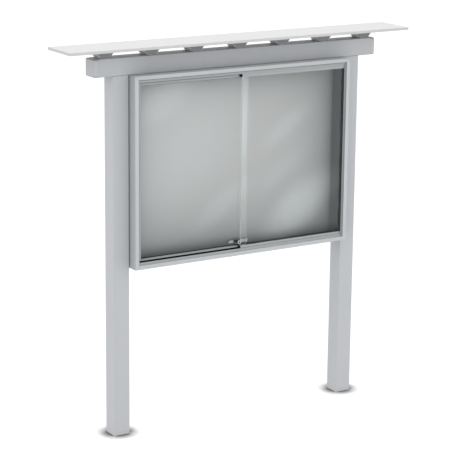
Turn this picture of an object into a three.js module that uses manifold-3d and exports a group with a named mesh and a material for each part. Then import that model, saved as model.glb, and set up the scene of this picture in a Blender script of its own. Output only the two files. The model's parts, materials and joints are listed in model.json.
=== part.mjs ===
// Lockable notice board: two posts and a beam carry a canopy plate and a shallow display case
// whose two sliding panes are held shut by a ratchet lock on a toothed bar.
// Millimetres. +X is right as seen from the front, +Y is back, +Z is up.
// The origin is on the ground, midway between the posts and midway through their depth.

import * as THREE from 'three';
import { mergeVertices } from 'three/addons/utils/BufferGeometryUtils.js';
import Module from 'manifold-3d';

const wasm = await Module();
wasm.setup();

// Fits and cutting
const seatGap = 0.3; // between pieces that rest on each other
const holeClearance = 0.35; // round a bolt in its hole
const cutOverrun = 10; // how far a cutter runs past what it cuts

// Posts: square tube
const postSide = 100;
const postWall = 4;
const postCornerRadius = 5;
const postSpan = 1426; // clear width between the posts
const footBand = 12; // foot cap that shows below the tube
const capPlugDepth = 40; // how far foot and beam caps reach into their tubes
const capWall = 4;
const headDepth = 30; // block inside each post top

// Beam: square tube across the posts
const beamUnderside = 2060;
const beamSide = 100;
const beamWall = 4;
const beamOverhang = 114; // beam past each post, caps included
const beamCapLength = 28;
const beamCapRound = 9; // rounding of the cap's outer edges
const beamStudRadius = 6;
const beamStudReach = 24; // into the post head
const beamStudSpacing = 44;
const anchorPlateThickness = 6; // plate inside the beam that carries the studs
const anchorPlateDepth = 60;
const anchorPlateMargin = 16; // plate past its studs

// Canopy and its brackets
const canopyOverhang = 182; // canopy past each end of the beam
const canopyDepth = 268;
const canopyThickness = 15;
const canopyCornerRadius = 3;
const bracketHeight = 43; // beam top to canopy underside
const bracketCount = 7;
const bracketEndInset = 75; // middle of the end brackets from the beam's end
const bracketFootWidth = 45;
const bracketHeadWidth = 125;
const bracketDepth = 92;
const bracketWall = 4;
const bracketLip = 26; // inward lip under the canopy plate

// Display case: outside
const caseSideGap = 4; // between case and post, filled by the packing strips
const caseTopGap = 0.4; // below the beam
const caseHeight = 1084.6;
const caseProud = 65; // face ahead of the posts' front
const backSheetThickness = 2;
const backSheetMargin = 6;

// Display case: frame profile, as depths behind the face and heights in from the outer edge
const profileWall = 2.5;
const faceWidth = 22.5;
const topFaceHeight = 20; // the top profile's face is a little lower than the others
const faceSetback = 12; // step behind the face
const lipThickness = 2;
const channelFloor = 20;
const channelFloorWall = 2;
const channelWidth = 14;
const outerLipHeight = 37;
const bottomMiddleLip = 50;
const topMiddleLip = 56;
const bottomInnerLip = 44;
const topInnerLip = 50;
const jambThickness = 31;
const cleatArm = 60;

// Display case: linings, seals and panels
const linerThickness = 1.2;
const linerHeight = 35.5;
const bottomLinerInnerHeight = 43.5; // the bottom liners' inner legs stand higher
const brushThickness = 3.4;
const bottomBrushTip = 57;
const topBrushTip = 60;
const brushBackset = 0.6; // from the rear pane's furniture
const jambSealThickness = 1.5;
const pinPanelDepth = 129; // panel face behind the case face
const pinPanelThickness = 10;
const coreEndGap = 20; // foam core short of the case's sides

// Case fixings
const caseBoltRadius = 5;
const caseBoltHeadWidth = 17;
const caseBoltHeadHeight = 6.4;
const caseBoltEndInset = 150; // first and last bolt from the case ends
const caseBoltCount = 2; // on each side
const caseBoltTail = 3; // past the post's wall
const packingWidth = 26; // strip between case and post

// Panes
const glassThickness = 6;
const furnitureWidth = 10; // rails, edge profiles and buffers, front to back
const glideHeight = 2;
const glideWidth = 7;
const glideInset = 40; // from each end of the rail
const railWall = 1.8;
const railTopHeight = 52;
const topRailTop = 24; // below the case's top edge
const topRailFoot = 56.8; // below the case's top edge
const paneSideGap = 0.5; // between a pane's edge furniture and the jamb seal
const frontPaneLead = 16; // front pane past the middle, to the left
const rearPaneLead = 32; // rear pane past the middle, to the right
const edgeSealWidth = 9;
const edgeProfileWidth = 18;
const edgeGrip = 7; // how far an edge piece laps onto the glass
const railEndWidth = 13; // plastic ends on the front pane's rails
const railEndRadius = 2;
const bufferHeight = 30; // end of the front pane's top rail

// Lock
const barBackset = 26.5; // bar face behind the case face
const barThickness = 2.5;
const barWidth = 17;
const barCentreHeight = 79; // above the case's bottom edge
const barTail = 121; // bar past the rear pane's edge, to the left
const toothPitch = 4;
const toothDepth = 1.6;
const toothEndMargin = 6;
const hookThickness = 3;
const hookReturn = 14; // leg behind the rear pane
const lockWidth = 35;
const lockTopRise = 11; // housing above the bar's middle
const lockBottomDrop = 16; // housing below the bar's middle
const lockFrontDepth = 20.6; // housing face behind the case face
const lockBackDepth = 31.6;
const lockCornerRadius = 3;
const slotClearance = 0.3;
const barrelRadius = 9.5;
const barrelLength = 22.6;
const barrelLipRadius = 10.3;
const barrelLipLength = 3;
const plugRadius = 5.5;
const plugClearance = 0.09;
const plugRecess = 0.4;
const plugTailGap = 0.4;
const keywayWidth = 1.8;
const keywayHeight = 7.5;
const keywayDepth = 8;
const camPinRadius = 1.4;
const camPinThrow = 2.2;
const camPinLength = 3;
const pawlWidth = 14;
const pawlThickness = 2.6;
const pawlTopRise = 6; // above the bar's middle
const pawlFootHeight = 2.6;
const pawlGap = 0.3; // round the pawl and under the teeth
const yokeClearance = 0.75;

// Facets
const cornerSegments = 3;
const holeSides = 12;
const roundSides = 32;

// Places worked out from the sizes above
const postInnerX = postSpan / 2;
const postCentreX = postInnerX + postSide / 2;
const postHalf = postSide / 2;
const postBottom = footBand + seatGap;
const postTop = beamUnderside - seatGap;
const beamHalf = beamSide / 2;
const beamLength = postSpan + (postSide + beamOverhang) * 2;
const canopyLength = beamLength + canopyOverhang * 2;
const bracketPitch = (beamLength - bracketEndInset * 2) / (bracketCount - 1);
const beamCentreZ = beamUnderside + beamHalf;
const beamTop = beamUnderside + beamSide;
const canopyUnderside = beamTop + bracketHeight;
const caseHalf = postInnerX - caseSideGap;
const caseTop = beamUnderside - caseTopGap;
const caseBottom = caseTop - caseHeight;
const caseFront = -postHalf - caseProud;
const caseBack = postHalf - backSheetThickness - seatGap;
const profileDepth = caseBack - caseFront;
const jambX = caseHalf - jambThickness;
const frontChannel = faceSetback + lipThickness;
const middleLip = frontChannel + channelWidth;
const rearChannel = middleLip + lipThickness;
const innerLip = rearChannel + channelWidth;
const innerLipBack = innerLip + lipThickness;
const frontPaneDepth = frontChannel + channelWidth / 2;
const rearPaneDepth = rearChannel + channelWidth / 2;
const paneEdgeX = jambX - jambSealThickness - seatGap - paneSideGap;
const glideBottom = channelFloor + linerThickness + seatGap * 2;
const railBottom = glideBottom + glideHeight + seatGap;
const glassBottom = railBottom + railWall + seatGap;
const lockCentreX = -frontPaneLead - seatGap - lockWidth / 2;
const glassTop = caseTop - topRailTop - railWall - seatGap;
const barCentreZ = caseBottom + barCentreHeight;
const barBottomZ = barCentreZ - barWidth / 2;
const holeScale = 1 / Math.cos(Math.PI / roundSides);

// Finishes
const finish = (color, roughness, metalness) => (
  new THREE.MeshStandardMaterial({ color, roughness, metalness })
);
const greyCoat = finish(0xc2c5c8, 0.45, 0.3);
const paleCoat = finish(0xe8e8e8, 0.5, 0.1);
const capPlastic = finish(0xbfbfbd, 0.55, 0.0);
const anodised = finish(0xc8cdd0, 0.35, 0.8);
const blackPlastic = finish(0x141414, 0.5, 0.0);
const panelGrey = finish(0xb9bcbc, 0.8, 0.0);
const zincSteel = finish(0xa9acae, 0.4, 0.9);
const chromed = finish(0xc9cbcc, 0.15, 1.0);
const paleFoam = finish(0xd9d2bd, 0.9, 0.0);
const clearGlass = new THREE.MeshStandardMaterial({
  color: 0xdfe8e6, roughness: 0.05, metalness: 0.0, transparent: true, opacity: 0.35,
});

const board = new THREE.Group();

// Geometry to solid and back
function toSolid(geometry) {
  geometry.deleteAttribute('normal');
  geometry.deleteAttribute('uv');
  const merged = mergeVertices(geometry);
  return new wasm.Manifold(new wasm.Mesh({
    numProp: 3,
    vertProperties: new Float32Array(merged.attributes.position.array),
    triVerts: new Uint32Array(merged.index.array),
  }));
}

function addPiece(name, solid, material) {
  const cut = solid.getMesh();
  const geometry = new THREE.BufferGeometry();
  geometry.setAttribute('position', new THREE.BufferAttribute(new Float32Array(cut.vertProperties), 3));
  geometry.setIndex(new THREE.BufferAttribute(new Uint32Array(cut.triVerts), 1));
  geometry.computeVertexNormals();
  const mesh = new THREE.Mesh(geometry, material);
  mesh.name = name;
  board.add(mesh);
}

function joined(solids) {
  return solids.reduce((whole, next) => whole.add(next));
}

// Outlines
function outline(points) {
  return new THREE.Shape(points.map(([a, b]) => new THREE.Vector2(a, b)));
}

function roundedRectangle(a, b, width, height, radius) {
  const right = a + width / 2 - radius;
  const left = a - width / 2 + radius;
  const top = b + height / 2 - radius;
  const bottom = b - height / 2 + radius;
  const shape = new THREE.Shape();
  shape.absarc(right, top, radius, 0, Math.PI / 2);
  shape.absarc(left, top, radius, Math.PI / 2, Math.PI);
  shape.absarc(left, bottom, radius, Math.PI, Math.PI * 1.5);
  shape.absarc(right, bottom, radius, Math.PI * 1.5, Math.PI * 2);
  return shape;
}

// Extrusions: the outline is drawn in the other two axes, in X, Y, Z order
const alongX = new THREE.Matrix4().makeBasis(
  new THREE.Vector3(0, 1, 0), new THREE.Vector3(0, 0, 1), new THREE.Vector3(1, 0, 0));
const alongY = new THREE.Matrix4().makeBasis(
  new THREE.Vector3(1, 0, 0), new THREE.Vector3(0, 0, 1), new THREE.Vector3(0, -1, 0));

function extruded(shape, length) {
  return new THREE.ExtrudeGeometry(shape, {
    depth: length, bevelEnabled: false, curveSegments: cornerSegments,
  });
}

function extrudeX(shape, x0, x1) {
  return toSolid(extruded(shape, x1 - x0).applyMatrix4(alongX).translate(x0, 0, 0));
}

function extrudeY(shape, y0, y1) {
  return toSolid(extruded(shape, y1 - y0).applyMatrix4(alongY).translate(0, y1, 0));
}

function extrudeZ(shape, z0, z1) {
  return toSolid(extruded(shape, z1 - z0).translate(0, 0, z0));
}

function block(x0, x1, y0, y1, z0, z1) {
  const geometry = new THREE.BoxGeometry(x1 - x0, y1 - y0, z1 - z0);
  return toSolid(geometry.translate((x0 + x1) / 2, (y0 + y1) / 2, (z0 + z1) / 2));
}

// Round and hexagonal bars along one axis
function rodZ(radius, x, y, z0, z1, sides = holeSides) {
  const geometry = new THREE.CylinderGeometry(radius, radius, z1 - z0, sides);
  return toSolid(geometry.rotateX(Math.PI / 2).translate(x, y, (z0 + z1) / 2));
}

function rodX(radius, x0, x1, y, z, sides = holeSides) {
  const geometry = new THREE.CylinderGeometry(radius, radius, x1 - x0, sides);
  return toSolid(geometry.rotateZ(Math.PI / 2).translate((x0 + x1) / 2, y, z));
}

function rodY(radius, x, y0, y1, z, sides = holeSides) {
  const geometry = new THREE.CylinderGeometry(radius, radius, y1 - y0, sides);
  return toSolid(geometry.translate(x, (y0 + y1) / 2, z));
}

const hexRadius = (acrossFlats) => acrossFlats / Math.sqrt(3);
const behindFace = (depth) => caseFront + depth;
const evenly = (count, place) => Array.from({ length: count }, (_, index) => place(index));

// From and to along X on the left (-1) or right (1) of the middle
const spanX = (sign, near, far) => (sign > 0 ? [near, far] : [-far, -near]);

// Square tube outline with its bore
function tubeOutline(a, b, side, wall, radius) {
  const shape = roundedRectangle(a, b, side, side, radius);
  const bore = side - wall * 2;
  shape.holes.push(roundedRectangle(a, b, bore, bore, radius - wall > 0 ? radius - wall : radius / 2));
  return shape;
}

// Where the beam studs and the case bolts go
const beamStudOffsets = [-beamStudSpacing / 2, beamStudSpacing / 2];
const caseBoltDepth = (pinPanelDepth + pinPanelThickness + profileDepth) / 2;
const caseBoltY = behindFace(caseBoltDepth);
const caseBoltStep = (caseHeight - caseBoltEndInset * 2) / (caseBoltCount - 1);
const caseBoltHeights = evenly(caseBoltCount, (index) => (
  caseBottom + caseBoltEndInset + index * caseBoltStep
));

function buildPosts() {
  const bore = postSide - postWall * 2 - seatGap * 2;
  const boreRadius = postCornerRadius / 2;
  const hollow = bore - capWall * 2;
  const studHole = beamStudRadius + holeClearance;
  for (const [side, sign] of [['left', -1], ['right', 1]]) {
    const x = sign * postCentreX;

    // Tube, drilled for the case bolts
    let post = extrudeZ(tubeOutline(x, 0, postSide, postWall, postCornerRadius), postBottom, postTop);
    for (const z of caseBoltHeights) {
      post = post.subtract(rodX(caseBoltRadius + holeClearance,
        ...spanX(sign, postInnerX - cutOverrun, postInnerX + postWall + cutOverrun), caseBoltY, z));
    }
    addPiece(`${side}_post`, post, greyCoat);

    // Foot cap: a band as wide as the post, with a hollow plug inside the tube
    const band = extrudeZ(roundedRectangle(x, 0, postSide, postSide, postCornerRadius), 0, footBand);
    const plug = extrudeZ(roundedRectangle(x, 0, bore, bore, boreRadius), footBand / 2,
      footBand + capPlugDepth);
    const well = extrudeZ(roundedRectangle(x, 0, hollow, hollow, boreRadius), footBand,
      footBand + capPlugDepth + cutOverrun);
    addPiece(`${side}_foot_cap`, band.add(plug).subtract(well), capPlastic);

    // Head block inside the post top, and above it the plate whose studs hold the beam to it
    let head = extrudeZ(roundedRectangle(x, 0, bore, bore, boreRadius), postTop - headDepth, postTop);
    const plateBottom = beamUnderside + beamWall + seatGap;
    const plateHalf = beamStudSpacing / 2 + anchorPlateMargin;
    let anchor = block(x - plateHalf, x + plateHalf, -anchorPlateDepth / 2, anchorPlateDepth / 2,
      plateBottom, plateBottom + anchorPlateThickness);
    for (const offset of beamStudOffsets) {
      head = head.subtract(rodZ(studHole, x + offset, 0, postTop - beamStudReach - holeClearance,
        postTop + cutOverrun));
      anchor = anchor.add(rodZ(beamStudRadius, x + offset, 0, postTop - beamStudReach,
        plateBottom + anchorPlateThickness / 2));
    }
    addPiece(`${side}_post_head`, head, zincSteel);
    addPiece(`${side}_beam_anchor`, anchor, zincSteel);
  }
}

const bracketPlaces = evenly(bracketCount, (index) => (index - (bracketCount - 1) / 2) * bracketPitch);

function buildBeam() {
  const tubeEnd = beamLength / 2 - beamCapLength - seatGap;
  let beam = extrudeX(tubeOutline(0, beamCentreZ, beamSide, beamWall, postCornerRadius), -tubeEnd, tubeEnd);
  for (const sign of [-1, 1]) {
    for (const offset of beamStudOffsets) {
      beam = beam.subtract(rodZ(beamStudRadius + holeClearance, sign * postCentreX + offset, 0,
        beamUnderside - cutOverrun, beamUnderside + beamWall + cutOverrun));
    }
  }
  addPiece('beam', beam, greyCoat);

  // Caps: the outer end is rounded all round, the inner end plugs the tube
  const bore = beamSide - beamWall * 2 - seatGap * 2;
  const hollow = bore - capWall * 2;
  for (const [side, sign] of [['left', -1], ['right', 1]]) {
    const root = beamLength / 2 - beamCapLength;
    const core = beamSide - beamCapRound * 2;
    const coreOutline = roundedRectangle(0, beamCentreZ, core, core, postCornerRadius / 2);
    const round = new THREE.ExtrudeGeometry(coreOutline, {
      depth: (beamCapLength - beamCapRound) * 2,
      bevelThickness: beamCapRound,
      bevelSize: beamCapRound,
      bevelSegments: cornerSegments,
      curveSegments: cornerSegments,
    });
    round.translate(0, 0, beamCapRound - beamCapLength).applyMatrix4(alongX).translate(sign * root, 0, 0);
    const keep = block(...spanX(sign, root, root + beamCapLength + cutOverrun), -beamSide, beamSide,
      beamUnderside - beamHalf, beamTop + beamHalf);
    const plug = extrudeX(roundedRectangle(0, beamCentreZ, bore, bore, postCornerRadius / 2),
      ...spanX(sign, root - capPlugDepth, root + capWall));
    const well = extrudeX(roundedRectangle(0, beamCentreZ, hollow, hollow, postCornerRadius / 2),
      ...spanX(sign, root - capPlugDepth - cutOverrun, root));
    addPiece(`${side}_beam_cap`, toSolid(round).intersect(keep).add(plug).subtract(well), capPlastic);
  }
}

function buildCanopy() {
  const foot = beamTop + seatGap;
  const head = canopyUnderside - seatGap;
  const flare = (bracketHeadWidth - bracketFootWidth) / 2 / (head - foot);
  const wallShift = bracketWall * Math.sqrt(1 + flare * flare);
  const widthAt = (z) => bracketFootWidth / 2 + flare * (z - foot);
  const lipUnderside = head - bracketWall;
  const window = widthAt(lipUnderside) - wallShift - bracketLip;
  const halfDepth = bracketDepth / 2;
  const innerHalfDepth = halfDepth - bracketWall;

  // Each bracket is a folded tray: sides flare up from the foot, lips turn in under the plate
  bracketPlaces.forEach((x, index) => {
    const skin = (z, inset, side) => [x + side * (widthAt(z) - inset), z];
    const outer = outline([skin(foot, 0, -1), skin(foot, 0, 1), skin(head, 0, 1), skin(head, 0, -1)]);
    const inner = outline([
      skin(foot + bracketWall, wallShift, -1), skin(foot + bracketWall, wallShift, 1),
      skin(lipUnderside, wallShift, 1), skin(lipUnderside, wallShift, -1),
    ]);
    const bracket = extrudeY(outer, -halfDepth, halfDepth)
      .subtract(extrudeY(inner, -innerHalfDepth, innerHalfDepth))
      .subtract(block(x - window, x + window, -innerHalfDepth, innerHalfDepth,
        lipUnderside - bracketWall, head + cutOverrun));
    addPiece(`canopy_bracket_${index + 1}`, bracket, greyCoat);
  });

  addPiece('canopy', extrudeZ(roundedRectangle(0, 0, canopyLength, canopyDepth, canopyCornerRadius),
    canopyUnderside, canopyUnderside + canopyThickness), paleCoat);
}

// The case's two levels: where each starts and how far its face, lips, liner and brush reach inward
const levels = [
  {
    name: 'bottom', edge: caseBottom, inward: 1, faceHeight: faceWidth, middleReach: bottomMiddleLip,
    innerReach: bottomInnerLip, linerInner: bottomLinerInnerHeight, brushTip: bottomBrushTip,
  },
  {
    name: 'top', edge: caseTop, inward: -1, faceHeight: topFaceHeight, middleReach: topMiddleLip,
    innerReach: topInnerLip, linerInner: linerHeight, brushTip: topBrushTip,
  },
];

// Mitres run through the inner corner of the face, so they follow its two widths
const mitreSlope = (level) => level.faceHeight / faceWidth;

// Frame profile of the case's top and bottom: a chambered box whose inside carries three lips
function trackProfile({ edge, inward, faceHeight, middleReach, innerReach }) {
  const at = (depth, height) => [behindFace(depth), edge + inward * height];
  const shape = outline([
    at(0, 0), at(profileDepth, 0), at(profileDepth, channelFloor),
    at(innerLipBack, channelFloor), at(innerLipBack, innerReach),
    at(innerLip, innerReach), at(innerLip, channelFloor),
    at(rearChannel, channelFloor), at(rearChannel, middleReach),
    at(middleLip, middleReach), at(middleLip, channelFloor),
    at(frontChannel, channelFloor), at(frontChannel, outerLipHeight),
    at(faceSetback, outerLipHeight), at(faceSetback, faceHeight), at(0, faceHeight),
  ]);
  const ceiling = channelFloor - channelFloorWall;
  const chambers = [
    [profileWall, faceSetback, faceHeight - profileWall],
    [frontChannel, innerLip, ceiling],
    [innerLipBack, profileDepth - profileWall, ceiling],
  ];
  return [shape, chambers.map(([from, to, top]) => outline([
    at(from, profileWall), at(to, profileWall), at(to, top), at(from, top)]))];
}

// Frame profile of the case's sides: the same face and step, with a plain inner wall
function jambProfile(sign) {
  const at = (depth, thickness) => [sign * (caseHalf - thickness), behindFace(depth)];
  const shape = outline([
    at(0, 0), at(profileDepth, 0), at(profileDepth, jambThickness),
    at(faceSetback, jambThickness), at(faceSetback, faceWidth), at(0, faceWidth),
  ]);
  const innerFace = jambThickness - lipThickness;
  const chambers = [
    [profileWall, faceSetback, faceWidth - profileWall],
    [frontChannel, innerLip, innerFace],
    [innerLipBack, profileDepth - profileWall, innerFace],
  ];
  return [shape, chambers.map(([from, to, top]) => outline([
    at(from, profileWall), at(to, profileWall), at(to, top), at(from, top)]))];
}

function hollowExtrusion(extrude, [shape, chambers], from, to) {
  return extrude(shape, from, to)
    .subtract(joined(chambers.map((chamber) => extrude(chamber, from - cutOverrun, to + cutOverrun))));
}

function buildCaseFrame() {
  const y0 = caseFront - cutOverrun;
  const y1 = caseBack + cutOverrun;

  // Top and bottom, mitred as far in as the jambs reach and square above that
  for (const level of levels) {
    const slope = mitreSlope(level);
    const mitreGap = seatGap * Math.sqrt(1 + slope * slope);
    const up = (height) => level.edge + level.inward * height;
    const squareEnd = jambX - seatGap;
    const squareFoot = (caseHalf - squareEnd) * slope - mitreGap;
    const keep = extrudeY(outline([
      [-caseHalf, up(-mitreGap)], [caseHalf, up(-mitreGap)],
      [squareEnd, up(squareFoot)], [squareEnd, up(level.middleReach + cutOverrun)],
      [-squareEnd, up(level.middleReach + cutOverrun)], [-squareEnd, up(squareFoot)],
    ]), y0, y1);
    const profile = hollowExtrusion(extrudeX, trackProfile(level), -caseHalf, caseHalf);
    addPiece(`case_${level.name}_profile`, profile.intersect(keep), anodised);
  }

  for (const [name, sign] of [['left', -1], ['right', 1]]) {
    let profile = hollowExtrusion(extrudeZ, jambProfile(sign), caseBottom, caseTop);
    profile = profile.intersect(extrudeY(outline(levels.flatMap((level) => {
      const ends = [[sign * caseHalf, level.edge],
        [sign * jambX, level.edge + level.inward * jambThickness * mitreSlope(level)]];
      return level.inward > 0 ? ends : ends.reverse();
    })), y0, y1));
    for (const z of caseBoltHeights) {
      profile = profile.subtract(rodX(caseBoltRadius + holeClearance,
        ...spanX(sign, jambX - cutOverrun, caseHalf + cutOverrun), caseBoltY, z));
    }
    addPiece(`case_${name}_profile`, profile, anodised);
  }

  // Corner cleats in the chambers behind the face
  const near = profileWall + seatGap;
  const far = faceWidth - near;
  let number = 1;
  for (const signX of [-1, 1]) {
    for (const { edge, inward, faceHeight } of levels) {
      const at = (along, up) => [signX * (caseHalf - along), edge + inward * up];
      const farUp = faceHeight - near;
      const cleat = extrudeY(outline([
        at(near, near), at(cleatArm, near), at(cleatArm, farUp), at(far, farUp), at(far, cleatArm),
        at(near, cleatArm),
      ]), behindFace(near), behindFace(faceSetback - seatGap));
      addPiece(`corner_cleat_${number}`, cleat, zincSteel);
      number += 1;
    }
  }
}

function buildCaseLinings() {
  const end = jambX - seatGap;
  const brushEnd = end - jambSealThickness - seatGap;
  for (const { name: level, edge, inward, innerReach, linerInner, brushTip } of levels) {
    const at = (depth, height) => [behindFace(depth), edge + inward * height];
    for (const [track, start, linerOuter] of [
      ['front', frontChannel, linerHeight], ['rear', rearChannel, linerInner]]) {
      const d0 = start + seatGap;
      const d3 = start + channelWidth - seatGap;
      const d1 = d0 + linerThickness;
      const d2 = d3 - linerThickness;
      const h0 = channelFloor + seatGap;
      const h1 = h0 + linerThickness;
      const liner = outline([
        at(d0, h0), at(d3, h0), at(d3, linerInner), at(d2, linerInner),
        at(d2, h1), at(d1, h1), at(d1, linerOuter), at(d0, linerOuter),
      ]);
      addPiece(`${track}_${level}_track_liner`, extrudeX(liner, -end, end), blackPlastic);
    }

    // Brush seal standing on the inner lip, close behind the rear pane
    const brushFront = rearPaneDepth + furnitureWidth / 2 + brushBackset;
    const brushBack = brushFront + brushThickness;
    const brush = outline([
      at(brushFront, innerReach + seatGap), at(brushBack, innerReach + seatGap),
      at(brushBack, (innerReach + brushTip) / 2), at(brushFront + brushThickness / 2, brushTip),
      at(brushFront, brushTip),
    ]);
    addPiece(`${level}_brush_seal`, extrudeX(brush, -brushEnd, brushEnd), blackPlastic);
  }

  // Jamb seals line the side walls from the front lip to the panel, notched round the track lips
  const sealCorners = ({ edge, inward, middleReach }) => [
    [frontChannel, middleReach], [innerLipBack + seatGap, middleReach],
    [innerLipBack + seatGap, channelFloor], [pinPanelDepth - seatGap, channelFloor],
  ].map(([depth, height]) => [behindFace(depth), edge + inward * (height + seatGap)]);
  const [foot, head] = levels.map(sealCorners);
  const sealSide = outline([...foot, ...head.reverse()]);
  for (const [side, sign] of [['left', -1], ['right', 1]]) {
    addPiece(`${side}_jamb_seal`,
      extrudeX(sealSide, ...spanX(sign, jambX - seatGap - jambSealThickness, jambX - seatGap)), blackPlastic);
  }
}

function buildCaseBack() {
  const panelY = behindFace(pinPanelDepth);
  const panelEnd = jambX - seatGap;
  const panelBottom = caseBottom + channelFloor + seatGap;
  const panelTop = caseTop - channelFloor - seatGap;
  addPiece('pin_panel', block(-panelEnd, panelEnd, panelY, panelY + pinPanelThickness, panelBottom, panelTop),
    panelGrey);

  // Rigid foam core between the panel and the back sheet, clear of the bolt heads at its sides
  const coreX = jambX - coreEndGap;
  const coreFront = panelY + pinPanelThickness + seatGap;
  addPiece('panel_core', block(-coreX, coreX, coreFront, caseBack, panelBottom, panelTop), paleFoam);

  addPiece('back_sheet', block(-caseHalf + backSheetMargin, caseHalf - backSheetMargin,
    caseBack + seatGap, postHalf, caseBottom + backSheetMargin, caseTop - backSheetMargin), anodised);
}

function buildCaseFixings() {
  let number = 1;
  for (const [side, sign] of [['left', -1], ['right', 1]]) {
    let packing = block(...spanX(sign, caseHalf + seatGap, postInnerX - seatGap),
      caseBoltY - packingWidth / 2, caseBoltY + packingWidth / 2 - seatGap, caseBottom, caseTop);
    for (const z of caseBoltHeights) {
      const headRoot = jambX - seatGap;
      const tip = postInnerX + postWall + caseBoltTail;
      const head = rodX(hexRadius(caseBoltHeadWidth), ...spanX(sign, headRoot - caseBoltHeadHeight, headRoot),
        caseBoltY, z, 6);
      const shank = rodX(caseBoltRadius, ...spanX(sign, headRoot - seatGap, tip), caseBoltY, z);
      addPiece(`case_bolt_${number}`, head.add(shank), zincSteel);
      number += 1;
      packing = packing.subtract(rodX(caseBoltRadius + holeClearance,
        ...spanX(sign, caseHalf - cutOverrun, postInnerX + cutOverrun), caseBoltY, z));
    }
    addPiece(`${side}_packing_strip`, packing, blackPlastic);
  }
}

// One pane with its rails, glide and closing edge.
// closedSign is the side of the jamb that the pane closes on.
function buildPane(name, depth, closedSign, lead, edgeWidth, edgeMaterial, edgeName) {
  const halfGlass = glassThickness / 2;
  const halfFurniture = furnitureWidth / 2;
  const centreY = behindFace(depth);
  const closedEdge = closedSign * paneEdgeX;
  const freeEdge = -closedSign * lead;
  const span = (a, b) => [Math.min(a, b), Math.max(a, b)];
  const glassClosedEdge = closedEdge - closedSign * (edgeWidth - edgeGrip);

  addPiece(`${name}_glass`, block(...span(glassClosedEdge, freeEdge),
    centreY - halfGlass, centreY + halfGlass, caseBottom + glassBottom, glassTop), clearGlass);

  // Rails: channels along the bottom and top that hold the glass
  const slot = halfGlass + seatGap;
  const channel = (base, tip, inward) => extrudeX(outline([
    [centreY - halfFurniture, base], [centreY + halfFurniture, base],
    [centreY + halfFurniture, tip], [centreY + slot, tip],
    [centreY + slot, base + inward * railWall], [centreY - slot, base + inward * railWall],
    [centreY - slot, tip], [centreY - halfFurniture, tip],
  ]), ...span(closedEdge, freeEdge));
  addPiece(`${name}_bottom_rail`, channel(caseBottom + railBottom, caseBottom + railTopHeight, 1), anodised);
  addPiece(`${name}_top_rail`, channel(caseTop - topRailTop, caseTop - topRailFoot, -1), anodised);

  const glideEnds = span(closedEdge - closedSign * glideInset, freeEdge + closedSign * glideInset);
  addPiece(`${name}_glide`, block(...glideEnds, centreY - glideWidth / 2, centreY + glideWidth / 2,
    caseBottom + glideBottom, caseBottom + glideBottom + glideHeight), blackPlastic);

  // Piece along the closing edge, slotted over the glass between the rails
  const edgeFar = closedEdge - closedSign * edgeWidth;
  const edgeFoot = caseBottom + railTopHeight + seatGap;
  const edgeHead = caseTop - topRailFoot - seatGap;
  const edgePiece = block(...span(closedEdge, edgeFar), centreY - halfFurniture, centreY + halfFurniture,
    edgeFoot, edgeHead);
  const groove = block(...span(glassClosedEdge + closedSign * seatGap, edgeFar - closedSign * cutOverrun),
    centreY - slot, centreY + slot, edgeFoot - cutOverrun, edgeHead + cutOverrun);
  addPiece(`${name}_${edgeName}`, edgePiece.subtract(groove), edgeMaterial);
}

// Plastic ends of the front pane's rails, on its free edge
function buildRailEnds() {
  const centreY = behindFace(frontPaneDepth);
  const inner = -frontPaneLead - seatGap;
  for (const [name, foot, head] of [
    ['rail_end', caseBottom + railBottom, caseBottom + railTopHeight],
    ['corner_buffer', caseTop - topRailTop - bufferHeight, caseTop - topRailTop]]) {
    const end = roundedRectangle(inner - railEndWidth / 2, (foot + head) / 2,
      railEndWidth, head - foot, railEndRadius);
    addPiece(`front_pane_${name}`, extrudeY(end, centreY - furnitureWidth / 2, centreY + furnitureWidth / 2),
      blackPlastic);
  }
}

// Toothed bar hooked round the rear pane's free edge
function buildRatchetBar() {
  const y0 = behindFace(barBackset);
  const y1 = y0 + barThickness;
  const hookStart = rearPaneLead + seatGap;
  const hookEnd = hookStart + hookThickness;
  const tip = rearPaneLead - barTail;
  const barTopZ = barCentreZ + barWidth / 2;
  const toothRun = hookStart - tip - toothEndMargin * 2;
  const toothCount = Math.floor(toothRun / toothPitch);
  const teeth = evenly(toothCount, (index) => {
    const x = tip + toothEndMargin + index * toothPitch;
    return [[x, barBottomZ + toothDepth], [x + toothPitch, barBottomZ]];
  }).flat();
  const side = outline([
    [tip, barBottomZ], [tip + toothEndMargin, barBottomZ], ...teeth,
    [hookEnd, barBottomZ], [hookEnd, barTopZ], [tip, barTopZ],
  ]);
  const hookBack = behindFace(rearPaneDepth + glassThickness / 2) + seatGap;
  const bend = block(hookStart, hookEnd, y0, hookBack + hookThickness, barBottomZ, barTopZ);
  const leg = block(hookEnd - hookReturn, hookEnd, hookBack, hookBack + hookThickness, barBottomZ, barTopZ);
  addPiece('ratchet_bar', joined([extrudeY(side, y0, y1), bend, leg]), chromed);
}

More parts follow.
